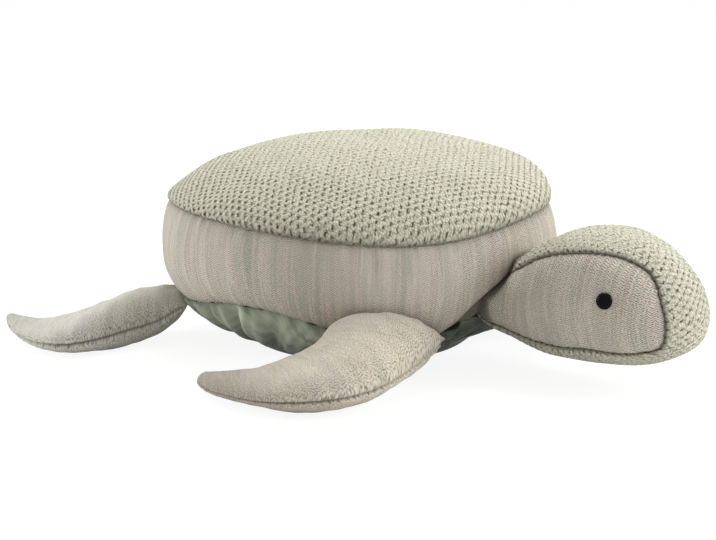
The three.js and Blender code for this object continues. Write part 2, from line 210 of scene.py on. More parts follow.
def linear(code):
    # sRGB hex to a linear colour
    parts = [int(code[i:i + 2], 16) / 255 for i in (1, 3, 5)]
    return tuple([p / 12.92 if p <= 0.04045 else ((p + 0.055) / 1.055) ** 2.4 for p in parts] + [1.0])


def node(tree, kind, inputs=None, **settings):
    made = tree.nodes.new(kind)
    for key, value in settings.items():
        setattr(made, key, value)
    for key, value in (inputs or {}).items():
        if isinstance(value, bpy.types.NodeSocket):
            tree.links.new(value, made.inputs[key])
        else:
            made.inputs[key].default_value = value
    return made


def newMaterial(name, look):
    material = bpy.data.materials.new(name)
    material.use_nodes = True
    tree = material.node_tree
    shader = tree.nodes["Principled BSDF"]
    shader.inputs["Roughness"].default_value = look["roughness"]
    shader.inputs["Specular IOR Level"].default_value = look["specular"]
    shader.inputs["Sheen Weight"].default_value = look["sheen"]
    shader.inputs["Sheen Roughness"].default_value = sheenRoughness
    return material, tree, shader


def ramp(tree, value, stops):
    made = node(tree, "ShaderNodeValToRGB", {"Fac": value})
    elements = made.color_ramp.elements
    while len(elements) < len(stops):
        elements.new(0.5)
    for element, (place, code) in zip(elements, stops):
        element.position = place
        element.color = linear(code)
    return made.outputs["Color"]


def calc(tree, operation, *values):
    return node(tree, "ShaderNodeMath", dict(enumerate(values)), operation=operation).outputs[0]


def vectorCalc(tree, operation, *values):
    made = node(tree, "ShaderNodeVectorMath", dict(enumerate(values)), operation=operation)
    return made.outputs["Vector"]


def noise(tree, place, scale, detail, output="Fac", distortion=0.0):
    inputs = {"Vector": place, "Scale": scale, "Detail": detail, "Distortion": distortion}
    return node(tree, "ShaderNodeTexNoise", inputs).outputs[output]


def splitAxes(tree, vector):
    return node(tree, "ShaderNodeSeparateXYZ", {"Vector": vector}).outputs


def flatPlace(tree):
    # Where a point lies on its flat cloth
    return node(tree, "ShaderNodeUVMap", uv_map="cloth").outputs["UV"]


def objectPlace(tree):
    return node(tree, "ShaderNodeTexCoord").outputs["Object"]


def mapRange(tree, value, start, end, low, high, kind="LINEAR"):
    # low where the value is at start, high where it is at end
    inputs = {"Value": value, "From Min": start, "From Max": end, "To Min": low, "To Max": high}
    return node(tree, "ShaderNodeMapRange", inputs, interpolation_type=kind).outputs[0]


def mixColour(tree, share, colour, other, blend="MIX"):
    inputs = {0: share, 6: colour, 7: other}
    return node(tree, "ShaderNodeMix", inputs, data_type="RGBA", blend_type=blend).outputs[2]


def paintSeamAndShade(tree, colour, code="#4a3f33", strength=0.8):
    # The dark thread of a seam and the painted shadow in its groove, with any other painted shade that
    # the place functions put in the seam attribute
    seam = node(tree, "ShaderNodeAttribute", attribute_name="seam").outputs["Fac"]
    return mixColour(tree, calc(tree, "MULTIPLY", seam, strength), colour, linear(code))


def coverShader(tree, shader, colour, rise, look):
    tree.links.new(colour, shader.inputs["Base Color"])
    inputs = {"Height": rise, "Strength": look["bump"], "Distance": look["bumpDepth"]}
    bump = node(tree, "ShaderNodeBump", inputs)
    tree.links.new(bump.outputs["Normal"], shader.inputs["Normal"])


stitch = {
    "along": 0.0078,  # from one hollow to the next in a row
    "row": 0.0072,
    "turn": math.radians(4),
    "lean": 0.45,
    "depth": 0.0017,
    "level": 0.6,  # share of the depth that lies below the cloth's mean surface
    "pastSeam": 0.002,  # how far the relief goes on past a seam
    "fullness": 3.0,
}


def stitchHeight(p, q):
    # Moss stitch: staggered bumps with small leaning hollows between them, from 0 to 1
    s = p * math.cos(stitch["turn"]) + q * math.sin(stitch["turn"])
    t = q * math.cos(stitch["turn"]) - p * math.sin(stitch["turn"])
    across, upward = 2 * math.pi * s / stitch["along"], math.pi * t / stitch["row"]
    wave = np.cos(across + stitch["lean"] * np.sin(2 * upward)) * np.cos(upward)
    return 1 - np.clip(0.5 - wave / 2, 0, 1) ** stitch["fullness"]


def rolledEdge(piece, edge):
    # How far the cloth rolls in towards a seam
    depth, width = piece["roundOff"]
    return depth * np.exp(-edge / width)


def stitchRelief(p, q, past):
    return stitch["depth"] * (stitchHeight(p, q) - stitch["level"]) * (past < stitch["pastSeam"])


knitLook = {
    "roughness": 0.95, "sheen": 0.12, "specular": 0.25,
    "wobbleScale": 210, "wobble": 0.0032,  # how the yarn strays from its row
    "topHollowShadeAndDepth": 0.5,  # share of the hollows' depth and painted shade left on top, where 1 is all
    "unevenScale": 95, "uneven": (1.3, 0.35),
    "loopScale": 420, "loopScatter": 0.85, "fluffScale": 600, "patchScale": 24,
    "hollowDepth": 0.62, "loopDepth": 0.68, "fluffHeight": 0.5, "patchShare": 0.14, "toneShift": 0.27,
    # The dark end of the tones is painted shade in the hollows and between the loops, the pale end a
    # painted highlight on the loop tops
    "tones": [(0.12, "#434031"), (0.34, "#7e7a66"), (0.55, "#a9a692"), (0.75, "#c0bdaa"),
              (0.97, "#d8d5c5")],
    "seam": "#3f3b2e", "seamStrength": 0.6, "bump": 0.8, "bumpDepth": 0.0022,
}


def mossKnit(name, hollowFadeHeights):
    # Wool-blend yarn about 4 mm thick, knitted in moss stitch: pale uneven grains, with painted shade
    # in the hollows between them. On top the hollows grow shallower and their painted shade fades, as
    # light from above fills them
    look = knitLook
    material, tree, shader = newMaterial(name, look)
    cloth = flatPlace(tree)
    wobble = noise(tree, cloth, look["wobbleScale"], 2, "Color")
    shifted = vectorCalc(tree, "MULTIPLY_ADD", wobble, (look["wobble"], look["wobble"], 0), cloth)
    # The same pattern as stitchHeight
    turned = node(tree, "ShaderNodeVectorRotate", {"Vector": shifted, "Angle": -stitch["turn"]},
                  rotation_type="Z_AXIS").outputs["Vector"]
    size = (2 * math.pi / stitch["along"], math.pi / stitch["row"], 1)
    axes = splitAxes(tree, vectorCalc(tree, "MULTIPLY", turned, size))
    sway = calc(tree, "SINE", calc(tree, "MULTIPLY", axes["Y"], 2))
    leaning = calc(tree, "MULTIPLY_ADD", sway, stitch["lean"], axes["X"])
    wave = calc(tree, "MULTIPLY", calc(tree, "COSINE", leaning), calc(tree, "COSINE", axes["Y"]))
    hollow = calc(tree, "POWER", calc(tree, "MULTIPLY_ADD", wave, -0.5, 0.5), stitch["fullness"])
    # Less depth and less painted shade in the hollows towards the lit top
    height = splitAxes(tree, objectPlace(tree))["Z"]
    hollowFadeOnTop = mapRange(tree, height, *hollowFadeHeights, 1.0, look["topHollowShadeAndDepth"], "SMOOTHSTEP")
    hollow = calc(tree, "MULTIPLY", hollow, hollowFadeOnTop)
    # Some hollows are pulled open more than others
    uneven = noise(tree, cloth, look["unevenScale"], 1)
    uneven = calc(tree, "MULTIPLY_ADD", uneven, *look["uneven"])
    hollow = calc(tree, "MULTIPLY", hollow, uneven)
    # Loops of yarn a few millimetres across, and the fluff on them
    loopInputs = {"Vector": shifted, "Scale": look["loopScale"], "Randomness": look["loopScatter"]}
    loops = node(tree, "ShaderNodeTexVoronoi", loopInputs, voronoi_dimensions="2D").outputs["Distance"]
    fluff = noise(tree, cloth, look["fluffScale"], 3)
    patch = noise(tree, cloth, look["patchScale"], 2)
    rise = calc(tree, "MULTIPLY_ADD", hollow, -look["hollowDepth"], 1)
    rise = calc(tree, "MULTIPLY_ADD", loops, -look["loopDepth"], rise)
    rise = calc(tree, "MULTIPLY_ADD", fluff, look["fluffHeight"], rise)
    # The tone follows the relief, which paints shade into its low places and highlight onto its high
    # ones
    tone = calc(tree, "SUBTRACT", rise, look["toneShift"])
    tone = calc(tree, "MULTIPLY_ADD", patch, look["patchShare"], tone)
    colour = paintSeamAndShade(tree, ramp(tree, tone, look["tones"]), look["seam"], look["seamStrength"])
    coverShader(tree, shader, colour, rise, look)
    return material


jerseyLook = {
    "roughness": 0.9, "specular": 0.25,
    "driftScale": 22, "drift": 0.003,  # how the stripes stray
    "narrowScale": 3.2, "narrowShare": 0.22, "wideShare": 0.98,  # narrow stripes over the wide ones
    # Loops in a herringbone, coarser than the real ones so that they show
    "loopPitch": 0.0021, "ribWidth": 0.0032, "ribSlant": 0.7,
    "heatherScale": 800, "heatherShare": 0.85,
    "heatherTones": [(0.32, "#8d877d"), (0.50, "#ebe8e3"), (0.66, "#ffffff")],
    "loopBump": 0.25, "bump": 0.6, "bumpDepth": 0.0008,
}
# The dye of each jersey. along: how much its stripes are drawn out, weave: how clearly its loops show
heathered = {"stripeScale": 56, "along": 0.10, "sheen": 0.15, "weave": 0.055}
jerseys = {
    "stripedCottonJersey": {
        "stripeScale": 92, "along": 0.035, "sheen": 0.1, "weave": 0.15,
        "tones": [(0.44, "#b7b7a9"), (0.52, "#d1c9bc"), (0.58, "#c6bbb4"), (0.63, "#bbbbad"),
                  (0.69, "#d4ccbf"), (0.78, "#c0b5ab")],
    },
    "warmHeatheredJersey": {
        **heathered,
        "tones": [(0.42, "#c2bdae"), (0.50, "#d1c9b8"), (0.57, "#cac1b9"), (0.63, "#d5cdbc"),
                  (0.70, "#c5bfaf"), (0.79, "#d1c9b9")],
    },
    "coolHeatheredJersey": {
        **heathered,
        "tones": [(0.42, "#bfc1b5"), (0.50, "#d0cfc5"), (0.57, "#c8c5c1"), (0.63, "#d3d2c8"),
                  (0.70, "#c3c5ba"), (0.79, "#cfcec4")],
    },
}


def jerseyCloth(name):
    # Fine cotton jersey dyed in soft uneven stripes, about 3 and 11 mm wide on the body and twice that
    # on the flippers
    look = {**jerseyLook, **jerseys[name]}
    material, tree, shader = newMaterial(name, look)
    cloth = flatPlace(tree)
    drift = noise(tree, cloth, look["driftScale"], 2, "Color")
    moved = vectorCalc(tree, "MULTIPLY_ADD", drift, (look["drift"], look["drift"], 0), cloth)
    stretched = vectorCalc(tree, "MULTIPLY", moved, (1, look["along"], 1))
    wide = noise(tree, stretched, look["stripeScale"], 1)
    narrow = noise(tree, stretched, look["stripeScale"] * look["narrowScale"], 1)
    mix = calc(tree, "MULTIPLY", narrow, look["narrowShare"])
    mix = calc(tree, "MULTIPLY_ADD", wide, look["wideShare"], mix)
    axes = splitAxes(tree, cloth)
    rib = calc(tree, "PINGPONG", axes["X"], look["ribWidth"])
    slant = calc(tree, "MULTIPLY_ADD", rib, look["ribSlant"], axes["Y"])
    loops = calc(tree, "SINE", calc(tree, "MULTIPLY", slant, 2 * math.pi / look["loopPitch"]))
    heather = noise(tree, cloth, look["heatherScale"], 2)
    shade = ramp(tree, calc(tree, "MULTIPLY_ADD", loops, look["weave"], heather), look["heatherTones"])
    colour = mixColour(tree, look["heatherShare"], ramp(tree, mix, look["tones"]), shade, "MULTIPLY")
    rise = calc(tree, "MULTIPLY_ADD", loops, look["loopBump"], heather)
    coverShader(tree, shader, paintSeamAndShade(tree, colour), rise, look)
    return material


sateenLook = {
    "roughness": 0.55, "sheen": 0.03, "specular": 0.12,
    "patchScale": 34, "tones": [(0.30, "#8b9380"), (0.5, "#a4ab97"), (0.68, "#b3baa7")],
    # Painted shade towards the floor: its colour and the height where it ends
    "contactShade": "#21251e", "contactShadeTop": 0.036,
    "threadScale": 220, "threadBump": 0.03,
    # Creases round the base: how they twist and change on their way out, and how many to a radian
    "creaseTwist": 2.5, "creaseChange": 3, "creaseScale": 15, "creaseWander": 0.6,
    # Painted shade in the deep creases: its colour, the crease heights between which it fades out, and
    # its share
    "creaseShade": "#4b5247", "creaseShadeEnds": (0.35, 0.52), "creaseShadeShare": 0.42,
    # The dark colour of the seam attribute, which here carries the seam thread and the painted shade
    # under the neck
    "seam": "#262b25", "bump": 0.6, "bumpDepth": 0.004,
}


def sageSateen():
    # Tightly woven cotton sateen: a soft gloss that shows every crease, painted shade in the deep
    # creases, and painted shade towards the floor where it rests
    look = sateenLook
    material, tree, shader = newMaterial("sageCottonSateen", look)
    cloth = flatPlace(tree)
    colour = ramp(tree, noise(tree, cloth, look["patchScale"], 4), look["tones"])
    # Painted shade darkening the cloth towards the floor
    height = splitAxes(tree, objectPlace(tree))["Z"]
    contactShade = mapRange(tree, height, 0.0, look["contactShadeTop"], 1.0, 0.0, "SMOOTHSTEP")
    colour = mixColour(tree, contactShade, colour, linear(look["contactShade"]))
    inputs = {"Vector": cloth, "Scale": look["threadScale"], "Distortion": 1}
    threads = node(tree, "ShaderNodeTexWave", inputs, wave_type="BANDS", bands_direction="X")
    # Creases run out from the middle of the base to its seam
    axes = splitAxes(tree, cloth)
    turn = calc(tree, "ARCTAN2", axes["Y"], axes["X"])
    reach = node(tree, "ShaderNodeVectorMath", {0: cloth}, operation="LENGTH").outputs["Value"]
    spread = node(tree, "ShaderNodeCombineXYZ", {
        "X": calc(tree, "MULTIPLY_ADD", reach, look["creaseTwist"], turn),
        "Y": calc(tree, "MULTIPLY", reach, look["creaseChange"]),
    }).outputs["Vector"]
    creases = noise(tree, spread, look["creaseScale"], 4, distortion=look["creaseWander"])
    # Painted shade in the deep creases
    deep = mapRange(tree, creases, *look["creaseShadeEnds"], look["creaseShadeShare"], 0.0)
    colour = paintSeamAndShade(tree, mixColour(tree, deep, colour, linear(look["creaseShade"])), look["seam"])
    rise = calc(tree, "MULTIPLY_ADD", threads.outputs["Fac"], look["threadBump"], creases)
    coverShader(tree, shader, colour, rise, look)
    return material


acrylicLook = {
    "roughness": 0.12, "sheen": 0, "specular": 0.08, "refraction": 1.49,
    "hazeScale": 400, "tones": [(0.3, "#040406"), (0.7, "#0b0a0d")],
}


def blackAcrylic():
    # Moulded black acrylic with a polished dome: a sharp small reflection
    look = acrylicLook
    material, tree, shader = newMaterial("polishedBlackAcrylic", look)
    shader.inputs["IOR"].default_value = look["refraction"]
    colour = ramp(tree, noise(tree, objectPlace(tree), look["hazeScale"], 2), look["tones"])
    tree.links.new(colour, shader.inputs["Base Color"])
    return material


# The stuffed body: a knitted shell, a side band and a base

body = {
    "crownHeight": 0.2045,
    "upperRadius": ([-140, -60, 0, 40, 90, 160], [0.1942, 0.1955, 0.1930, 0.1879, 0.1912, 0.1950]),
    "meanRadius": 0.195, "meanSeam": 0.142, "crownCurve": 0.6,  # a plain dome that sizes the flat cloth
    "lowerRadius": 0.181,
    "restRadius": 0.098,
    "tuck": 0.009,  # how far the seam allowances turn in
    "ringFade": 0.12,  # angle over which a ring's wrinkles fade at the tail
    # Height of the seams round the body, by angle from the head in degrees
    "upperSeam": ([-150, -102, -70, -54, -40, -28, -14, 4, 40, 90, 140],
                  [0.147, 0.148, 0.1415, 0.1365, 0.1335, 0.134, 0.1385, 0.1445, 0.146, 0.1445, 0.1475]),
    "lowerSeam": ([-170, -140, -118, -95, -82, -70, -60, -46, -30, -17, 0,
                   17, 30, 46, 62, 80, 98, 120, 143, 165],
                  [0.052, 0.046, 0.052, 0.063, 0.063, 0.057, 0.050, 0.042, 0.041, 0.050, 0.055,
                   0.050, 0.041, 0.042, 0.051, 0.060, 0.062, 0.052, 0.046, 0.051]),
    # Radius of the band: share of its height, radius
    "bandShape": ([0, 0.12, 0.3, 0.55, 0.8, 1],
                  [0.181, 0.1895, 0.1980, 0.2015, 0.1990, 0.1945]),
    # How straight the base runs up from where it rests, by angle: 1 is a plain cone
    "straight": ([-150, -80, -50, -25, -5, 20, 60, 120], [0.5, 0.4, 0.5, 0.85, 1.0, 1.0, 0.5, 0.5]),
    # How flat the dome is towards its rim, by angle: 0.5 is a full round
    "slack": ([-140, -80, -20, 40, 100, 160], [0.78, 0.60, 0.49, 0.40, 0.39, 0.54]),
}


def around(table, theta):
    return smoothTable(np.degrees(theta), *body[table], 360)


def ringFade(theta):
    # 0 at the tail, where the two ends of a ring of cloth meet, and 1 away from it
    return easeUp(math.pi - np.abs(theta), 0, body["ringFade"])


def aroundBody(radius, theta, height):
    return np.stack([radius * np.cos(theta), radius * np.sin(theta), height], axis=1)


shell = {
    "gridStep": 0.00150, "overhang": 0.0022, "inside": (0, 0, 0.05), "seed": 3,
    "roundOff": (0.0022, 0.0022), "seamWidth": 0.0018,
    "soft": (0.0012, 0.11, 1, None), "softFrom": 0.04,  # shallow dents away from the rim
    "turnDown": 1.2, "turnDownEnd": 0.0022,  # how steeply and how far the allowance turns down
    "hollowFadeHeights": (0.168, 0.204),  # heights between which the hollows' depth and painted shade fade out
    "arcSamples": 400,
}


def shellArc():
    # Length along the dome from its crown to its rim, against its radius
    share = np.sin(np.linspace(0, math.pi / 2, shell["arcSamples"]))
    radius = body["meanRadius"] * share
    height = (body["crownHeight"] - body["meanSeam"]) * (1 - share**2) ** body["crownCurve"]
    length = np.concatenate([[0], np.cumsum(np.hypot(np.diff(radius), np.diff(height)))])
    return share, length


def placeShell(u, v):
    shares, lengths = shellArc()
    full = lengths[-1] + body["tuck"]
    p, q = (2 * u - 1) * full, (2 * v - 1) * full
    theta = np.arctan2(q, p)
    held = np.minimum(np.hypot(p, q), full)
    share = np.minimum(np.interp(held, lengths, shares), 0.9999)  # the slope stays finite at the rim
    low = around("upperSeam", theta)
    slack = around("slack", theta)
    rise = body["crownHeight"] - low
    rim = around("upperRadius", theta)
    # The way out of the cloth, for the stitches
    across = rise * slack * 2 * share * (1 - share**2) ** (slack - 1) / rim
    size = np.hypot(across, 1)
    across, upward = across / size, 1 / size
    toRim = np.maximum(lengths[-1] - held, 0)
    past = np.maximum(held - lengths[-1], 0)
    soft = ripple(p, q, shell["soft"], shell["seed"]) * easeUp(toRim, 0.0, shell["softFrom"])
    lift = shell["overhang"] + soft - rolledEdge(shell, toRim) + stitchRelief(p, q, past)
    lift = np.where(past > 0, np.minimum(lift, shell["overhang"]), lift)
    radius = rim * share + lift * across - past
    height = low + rise * (1 - share**2) ** slack + lift * upward
    height = height - shell["turnDown"] * np.minimum(past, shell["turnDownEnd"])
    seam = np.exp(-toRim / shell["seamWidth"])
    return aroundBody(radius, theta, height), np.stack([p, q], axis=1), seam


def makeShell(material):
    full = shellArc()[1][-1] + body["tuck"]
    count = int(2 * full / shell["gridStep"])
    piece = layCloth("shellKnit", count, count, placeShell)
    # The corners of the square beyond the rim are cut off
    mesh = piece.data
    cloth = readAll(mesh.uv_layers["cloth"].data, "uv", 2)
    corners = readAll(mesh.loops, "vertex_index", kind=int)
    beyond = np.zeros(len(mesh.vertices), bool)
    beyond[corners] = np.hypot(cloth[:, 0], cloth[:, 1]) > full + shell["gridStep"]
    setMode("EDIT")
    bpy.ops.mesh.select_mode(type="VERT")
    bpy.ops.mesh.select_all(action="DESELECT")
    setMode("OBJECT")
    mesh.vertices.foreach_set("select", beyond)
    setMode("EDIT")
    bpy.ops.mesh.delete(type="VERT")
    setMode("OBJECT")
    faceOut(piece, shell["inside"])
    closeHoles(piece)
    finishPiece(piece, material, ["shell_panel", "body_filling"])
    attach(piece, "body")
    print("stage: shell knitted,", len(piece.data.polygons), "faces")


band = {
    "columns": 640, "rows": 84, "inside": (0, 0, 0.09), "seed": 5,
    "roundOff": (0.0042, 0.0045), "seamWidth": 0.0022,
    # Puckers at the seams, soft dents and finer upright wrinkles between them
    "pucker": (0.0009, 0.014, 0.2, 0.2), "puckerWidth": 0.011,
    "soft": (0.0011, 0.09, 1, None), "wrinkle": (0.0006, 0.03, 0.45, 0.5),
}
# Where the neck is sewn to the band: its half width by height, and the crevice around it
neckSeam = {
    "width": ([0.045, 0.056, 0.068, 0.076, 0.083, 0.090, 0.097, 0.106],
              [0.070, 0.067, 0.059, 0.050, 0.040, 0.029, 0.020, 0.015]),
    "reach": 0.006, "depth": 0.007, "fade": (0.098, 0.116), "front": 0.15,
    "shade": 0.97, "shadeFall": 0.55,
}


def neckWidth(height):
    return smoothTable(height, *neckSeam["width"])


def neckGap(points):
    # 1 where the neck is sewn on, fading away from the line where it meets the band
    gap = np.maximum(np.abs(points[:, 1]) - neckWidth(points[:, 2]), 0)
    near = np.exp(-(gap / neckSeam["reach"]) ** 2)
    near = near * (1 - easeUp(points[:, 2], *neckSeam["fade"]))
    return near * (points[:, 0] > neckSeam["front"])


def placeBand(u, v):
    theta = (2 * u - 1) * math.pi
    low, high = around("lowerSeam", theta), around("upperSeam", theta)
    tall = high - low
    # The rows beyond the seams turn in
    along = -body["tuck"] + v * (tall + 2 * body["tuck"])
    share = np.clip(along / tall, 0, 1)
    radius = smoothTable(share, *body["bandShape"])
    radius += (around("upperRadius", theta) - body["meanRadius"]) * share
    past = np.maximum(-along, 0) + np.maximum(along - tall, 0)
    edge = np.minimum(np.maximum(along, 0), np.maximum(tall - along, 0))
    radius -= rolledEdge(band, edge) + past
    height = low + share * tall
    near = np.exp(-edge / band["puckerWidth"])
    arc = theta * body["meanRadius"]
    wrinkles = near * ripple(arc, along, band["pucker"], band["seed"])
    wrinkles += (1 - near) * ripple(arc, along, band["soft"], band["seed"] + 1)
    wrinkles += (1 - near) * ripple(arc, along, band["wrinkle"], band["seed"] + 2)
    radius += wrinkles * ringFade(theta)
    gap = neckGap(aroundBody(radius, theta, height))
    radius -= neckSeam["depth"] * gap
    crevice = neckSeam["shade"] * gap ** neckSeam["shadeFall"]
    seam = np.maximum(np.exp(-edge / band["seamWidth"]), crevice)
    return aroundBody(radius, theta, height), np.stack([arc, height], axis=1), seam


def makeBand(material):
    piece = layCloth("sideBand", band["columns"], band["rows"], placeBand, True, band["inside"])
    closeHoles(piece)
    finishPiece(piece, material, ["side_band"])
    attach(piece, "body")
    print("stage: side band sewn")


base = {
    "columns": 420, "rows": 110, "inside": (0, 0, 0.1), "seed": 11,
    "roundOff": (0.0035, 0.004), "seamWidth": 0.0025,
    "foot": (-0.02, 0.22),  # where it rounds off to the floor, as a share of its slope
    # Folds that fan out from the seam and smaller creases between them, both as shares of foldDepth
    "foldDepth": 0.0056, "folds": (1, 0.042, 0.3, 0.3), "foldSlant": 0.6,
    "creases": (0.34, 0.019, 0.4, 0.5), "creaseSlant": 0.8,
    "foldRadius": 0.15, "ridge": 0.6, "fade": (0.15, 0.5), "out": 0.6, "down": 0.8,
    "allowanceRise": 0.00105,
    # Shade under the neck, by the cosine of the angle from the head
    "shadeEnds": (0.70, 0.88), "shade": 0.85, "shadeFolds": 0.35,
}


def placeBase(u, v):
    theta = (2 * u - 1) * math.pi
    low = around("lowerSeam", theta)
    edge, rest = body["lowerRadius"], body["restRadius"]
    flat = v * (edge + body["tuck"])
    held = np.minimum(flat, edge)
    t = np.clip((held - rest) / (edge - rest), 0, 1)
    # Nearly straight from the seam down to where the turtle rests, then rounded off
    straight = around("straight", theta)
    height = low * (straight * t + (1 - straight) * t * t)
    height *= easeUp(t, *base["foot"])
    past = np.maximum(flat - edge, 0)
    toSeam = edge - held
    fade = easeUp(t, *base["fade"])
    arc = theta * base["foldRadius"]
    folds = ripple(arc + toSeam * base["foldSlant"], toSeam, base["folds"], base["seed"])
    creases = ripple(arc + toSeam * base["creaseSlant"], toSeam, base["creases"], base["seed"] + 1)
    ridged = folds - base["ridge"] * np.abs(folds) + creases
    lift = base["foldDepth"] * fade * ringFade(theta) * ridged - rolledEdge(base, toSeam)
    radius = held + base["out"] * lift * (held > rest) - past
    height = np.maximum(height - base["down"] * lift * (past == 0) * (t > 0), 0)
    height = np.where(past > 0, low + base["allowanceRise"], height)
    cloth = np.stack([flat * np.cos(theta), flat * np.sin(theta)], axis=1)
    # Painted shade under the neck, broken up by the folds
    shade = easeUp(np.cos(theta), *base["shadeEnds"])
    shade = shade * np.clip(base["shade"] + base["shadeFolds"] * folds, 0, 1)
    seam = np.maximum(np.exp(-toSeam / base["seamWidth"]), shade)
    return aroundBody(radius, theta, height), cloth, seam


def makeBase(material):
    piece = layCloth("baseSateen", base["columns"], base["rows"], placeBase, True, base["inside"])
    closeHoles(piece)
    finishPiece(piece, material, ["base_panel"])
    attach(piece, "body")
    print("stage: base sewn")


# Flippers: an upper and a lower panel, sewn along the edge, stuffed, and caught in the body's seam.
# Seen from above, in millimetres: x runs away from the body from the hinge, and y towards the tail.

flippers = {
    "front": {
        "angle": 46, "hingeRadius": 0.2115, "seed": 20, "pinchShare": 0.17,
        "leading": [(-25, -61), (-2, -49), (32, -24), (68, 6), (88, 42), (88, 78), (74, 111), (51, 137),
                    (19, 160), (-8, 171)],
        "trailing": [(-33, 56), (-8, 58), (6, 66), (7, 78), (4, 92), (-2, 108), (-10, 125), (-18, 142),
                     (-27, 159), (-29, 169)],
        "rise": [30, 39, 38, 33, 27, 21, 16, 14, 13, 13],
        "drop": [16, 19, 19, 20, 19, 17, 11, 8, 6.5, 6],
        "middle": [7, 2, -6, -12, -16, -19, -22, -24, -26, -27],
        "underFullness": 1.9, "tip": 11, "tipShade": 0.62,
        "seamTone": [0.3, 0.35, 0.6, 1, 1, 1, 0.9],
    },
    "rear": {
        "angle": 143, "hingeRadius": 0.2055, "seed": 30, "pinchShare": 0.13,
        "leading": [(-30, -38), (-2, -49), (26, -68), (52, -88), (80, -101), (107, -93), (130, -71),
                    (147, -49), (157, -34)],
        "trailing": [(-28, 38), (2, 30), (26, 16), (50, 6), (74, -2), (98, -6), (119, -8), (138, -10),
                     (154, -16)],
        "rise": [14, 26, 31, 27.5, 21, 14.5, 10.5, 11, 13],
        "drop": [18, 19, 20, 17, 14, 10, 6, 7, 11],
        "middle": [4, -10, -15.5, -19.5, -22, -23.5, -23.5, -20, -14],
        "underFullness": 2.8, "tip": 10, "tipShade": 0.0,
        "seamTone": [0.5, 0.8, 1, 1, 0.6, 0.2, 0.1],
    },
}
flipperCloth = {
    "columns": 140, "rows": 170, "hinge": 0.036, "fullness": 2.25, "floorGap": 0.0002,
    "middleOut": 0.03, "middleUp": 0.03,  # a point inside it, from the hinge
    # The cut end inside the body: its length, share of the rows, and how much it narrows
    "inside": 0.020, "insideShare": 0.08, "insideNarrow": 0.15,
    "evenRows": 0.11,  # closes up the rows at both ends
    "rootStuffing": 0.07,  # least share of the stuffing, at the root
    "seamDepth": 0.0028, "seamWidth": 0.0018, "threadWidth": 0.0013, "seamShare": 0.2, "seamFrom": 0.03,
    "pucker": (0.0006, 0.011, 0.2, 0.2), "puckerWidth": 0.008,
    "soft": (0.0007, 0.06, 1, None), "fine": (0.0005, 0.02, 1, None),
    "gather": (0.0009, 0.016, 0.05, 0.3), "gatherReach": 0.12, "gatherFrom": 0.04,
    "tipWidths": (0.003, 0.02),  # half widths between which the wrinkles grow
    # The flat cloth: its length, the gap between its panels, its least half width and its roundness
    "length": 0.25, "panelGap": 0.4, "leastWidth": 0.004, "round": 1.3,
    # Painted shade towards the tip: where along the flipper it begins and is full, its share across the
    # panel, its extra share at the edge, and how far that edge reaches
    "tipShadeEnds": (0.45, 0.85), "tipShadeAll": 0.6, "tipShadeEdge": 0.4, "tipShadeWidth": 0.012,
}


